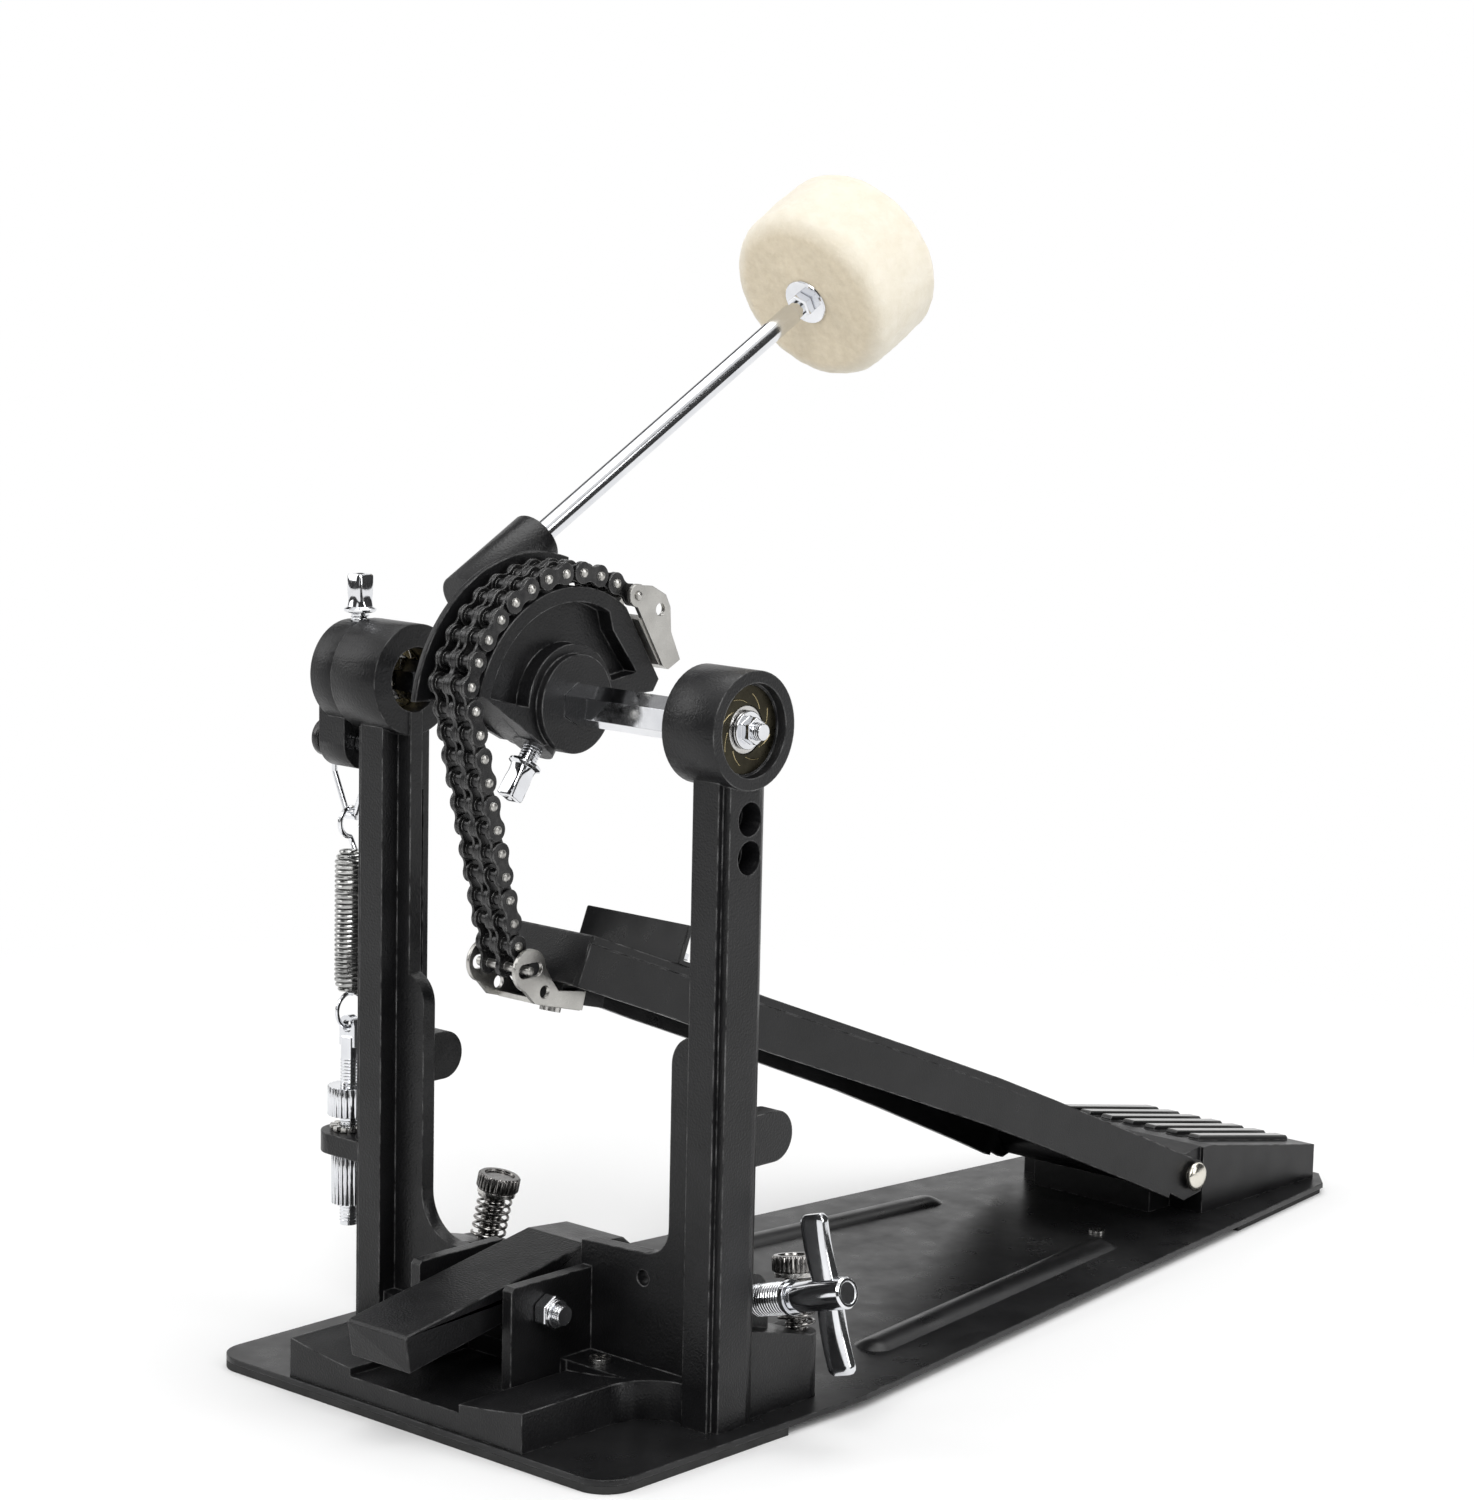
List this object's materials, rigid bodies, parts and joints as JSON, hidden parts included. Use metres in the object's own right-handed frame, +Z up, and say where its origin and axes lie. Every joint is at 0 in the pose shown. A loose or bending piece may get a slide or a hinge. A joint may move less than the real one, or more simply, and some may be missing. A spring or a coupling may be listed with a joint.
{
  "type": "bass drum pedal",
  "caption": "Chain-driven bass drum pedal: smooth cam on a hex shaft between posts, felt beater, hinged footboard on a floor plate, hoop clamp and return spring.",
  "frame": {"origin": "on the floor plane, under the middle of the drive shaft", "axes": "+Z up; +X along the drive shaft towards the post with the wing screw; +Y from the drum towards the heel"},
  "size_m": [0.178, 0.3762, 0.315],
  "materials": {
    "cast_black": "fine-grain black powder coat on a casting",
    "plate_black": "satin black paint on sheet steel",
    "board_black": "satin black powder coat, slightly worn at the edges",
    "rubber_black": "matt black rubber",
    "bright_chrome": "polished chrome plate",
    "zinc_steel": "bright zinc-plated steel",
    "clevis_steel": "brushed stamped steel",
    "chain_steel": "black oxide, lightly oiled",
    "cage_brass": "brass",
    "felt_cream": "dense pressed wool felt"
  },
  "bodies": {
    "stand": {"base_plate": "plate_black", "front_rubber_pad": "rubber_black", "rear_rubber_pad": "rubber_black", "plate_rivet": "zinc_steel", "post_frame": "cast_black", "frame_screw": "zinc_steel", "outer_race_right": "zinc_steel", "outer_race_left": "zinc_steel", "hinge_pin": "bright_chrome", "heel_block": "cast_black", "heel_block_screws": "zinc_steel", "clamp_pivot_bolt": "bright_chrome", "clamp_lock_nut": "bright_chrome", "tension_rod": "bright_chrome", "tooth_washer": "zinc_steel"},
    "drive": {"hex_shaft": "bright_chrome", "shaft_flange_nut": "bright_chrome", "inner_race_right": "zinc_steel", "inner_race_left": "zinc_steel", "chain_cam": "cast_black", "cam_key_bolt": "bright_chrome", "beater_key_bolt": "bright_chrome", "chain_wrap_outer": "chain_steel", "chain_wrap_inner": "chain_steel", "top_clevis": "clevis_steel", "top_clevis_screw": "zinc_steel", "spring_rocker": "cast_black", "rocker_key_bolt": "bright_chrome", "rocker_pin": "chain_steel"},
    "cage_right": {"ball_cage_right": "cage_brass"},
    "cage_left": {"ball_cage_left": "cage_brass"},
    "beater": {"beater_rod": "bright_chrome", "beater_felt": "felt_cream", "beater_washer": "bright_chrome", "beater_nut": "bright_chrome"},
    "board": {"footboard": "board_black", "toe_stop": "plate_black", "toe_stop_screws": "bright_chrome", "toe_clevis": "clevis_steel", "toe_clevis_screw": "zinc_steel"},
    "peel_link": {"chain_peel_link": "chain_steel"},
    "hanging_chain": {"chain_hang_inner": "chain_steel", "chain_hang_outer": "chain_steel"},
    "stirrup": {"wire_stirrup": "bright_chrome"},
    "return_spring": {"extension_spring": "bright_chrome"},
    "spring_end": {"spring_hook": "bright_chrome"},
    "jaw": {"clamp_jaw": "cast_black"},
    "wing_slide": {"wing_washer": "bright_chrome", "wing_spring": "bright_chrome"},
    "wing_turn": {"wing_screw": "bright_chrome"},
    "spur_slide_right": {"spur_washer_right": "zinc_steel", "spur_spring_right": "zinc_steel"},
    "spur_turn_right": {"spur_screw_right": "zinc_steel"},
    "spur_slide_left": {"spur_washer_left": "zinc_steel", "spur_spring_left": "zinc_steel"},
    "spur_turn_left": {"spur_screw_left": "zinc_steel"},
    "upper_nut": {"upper_tension_nut": "bright_chrome"},
    "lower_nut": {"lower_tension_nut": "bright_chrome"}
  },
  "joints": [
    {"name": "shaft_turn", "type": "hinge", "parent": "stand", "child": "drive", "pos_m": [0, 0, 0.1806], "axis": [1, 0, 0], "range_deg": [0, 48], "stiffness_Nm_per_rad": 0.8, "springref_deg": -28.65},
    {"name": "right_cage_roll", "type": "hinge", "parent": "stand", "child": "cage_right", "pos_m": [0, 0, 0.1806], "axis": [1, 0, 0], "range_deg": [0, 19.3]},
    {"name": "left_cage_roll", "type": "hinge", "parent": "stand", "child": "cage_left", "pos_m": [0, 0, 0.1806], "axis": [1, 0, 0], "range_deg": [0, 19.3]},
    {"name": "beater_height", "type": "slide", "parent": "drive", "child": "beater", "axis": [0, 0.8678, 0.497], "range_m": [-0.012, 0.012]},
    {"name": "board_hinge", "type": "hinge", "parent": "stand", "child": "board", "pos_m": [0, 0.241, 0.0176], "axis": [1, 0, 0], "range_deg": [0, 7.1]},
    {"name": "chain_peel", "type": "hinge", "parent": "drive", "child": "peel_link", "pos_m": [0, -0.03312, 0.19365], "axis": [1, 0, 0], "range_deg": [-12.1, 0]},
    {"name": "chain_swing", "type": "hinge", "parent": "peel_link", "child": "hanging_chain", "pos_m": [0, -0.03549, 0.18776], "axis": [1, 0, 0], "range_deg": [-46, 0]},
    {"name": "stirrup_swing", "type": "hinge", "parent": "drive", "child": "stirrup", "pos_m": [-0.0762, 0, 0.1615], "axis": [1, 0, 0], "range_deg": [-57.8, 0]},
    {"name": "spring_swing", "type": "hinge", "parent": "stand", "child": "return_spring", "pos_m": [-0.0762, 0, 0.083], "axis": [1, 0, 0], "range_deg": [-9.6, 0]},
    {"name": "spring_stretch", "type": "slide", "parent": "return_spring", "child": "spring_end", "axis": [0, 0, 1], "range_m": [0, 0.0075], "deforming": ["extension_spring"]},
    {"name": "wing_advance", "type": "slide", "parent": "stand", "child": "wing_slide", "axis": [0.9613, 0, 0.2756], "range_m": [-0.003, 0], "deforming": ["wing_spring"]},
    {"name": "wing_turn_joint", "type": "hinge", "parent": "wing_slide", "child": "wing_turn", "pos_m": [0.0592, 0.016, 0.032], "axis": [0.9613, 0, 0.2756], "range_deg": [-1081, 0]},
    {"name": "jaw_tilt", "type": "hinge", "parent": "stand", "child": "jaw", "pos_m": [0, -0.019, 0.028], "axis": [1, 0, 0], "range_deg": [0, 4.6]},
    {"name": "spur_right_height", "type": "slide", "parent": "stand", "child": "spur_slide_right", "axis": [-0.1557, 0.0976, 0.983], "range_m": [-0.003, 0.002], "deforming": ["spur_spring_right"]},
    {"name": "spur_right_spin", "type": "hinge", "parent": "spur_slide_right", "child": "spur_turn_right", "pos_m": [0.057, 0.0343, 0.0206], "axis": [-0.1557, 0.0976, 0.983], "range_deg": [-1081, 721]},
    {"name": "spur_left_height", "type": "slide", "parent": "stand", "child": "spur_slide_left", "axis": [0.1557, 0.0976, 0.983], "range_m": [-0.003, 0.002], "deforming": ["spur_spring_left"]},
    {"name": "spur_left_spin", "type": "hinge", "parent": "spur_slide_left", "child": "spur_turn_left", "pos_m": [-0.057, 0.0343, 0.0206], "axis": [0.1557, 0.0976, 0.983], "range_deg": [-1081, 721]},
    {"name": "upper_nut_spin", "type": "hinge", "parent": "stand", "child": "upper_nut", "pos_m": [-0.0762, 0, 0.0624], "axis": [0, 0, 1], "continuous": true},
    {"name": "lower_nut_spin", "type": "hinge", "parent": "stand", "child": "lower_nut", "pos_m": [-0.0762, 0, 0.041], "axis": [0, 0, 1], "continuous": true}
  ],
  "couplings": [
    {"joint": "board_hinge", "follows": "shaft_turn", "ratio": 0.1464},
    {"joint": "chain_peel", "follows": "shaft_turn", "ratio": -0.25},
    {"joint": "chain_swing", "follows": "shaft_turn", "ratio": -0.953},
    {"joint": "right_cage_roll", "follows": "shaft_turn", "ratio": 0.4},
    {"joint": "left_cage_roll", "follows": "shaft_turn", "ratio": 0.4},
    {"joint": "stirrup_swing", "follows": "shaft_turn", "ratio": -1.198},
    {"joint": "spring_swing", "follows": "shaft_turn", "ratio": -0.198},
    {"joint": "spring_stretch", "follows": "shaft_turn", "m_per_rad": 0.0089},
    {"joint": "wing_turn_joint", "follows": "wing_advance", "rad_per_m": 6283.2},
    {"joint": "jaw_tilt", "follows": "wing_advance", "rad_per_m": -26.18},
    {"joint": "spur_right_spin", "follows": "spur_right_height", "rad_per_m": 6283.2},
    {"joint": "spur_left_spin", "follows": "spur_left_height", "rad_per_m": 6283.2}
  ]
}
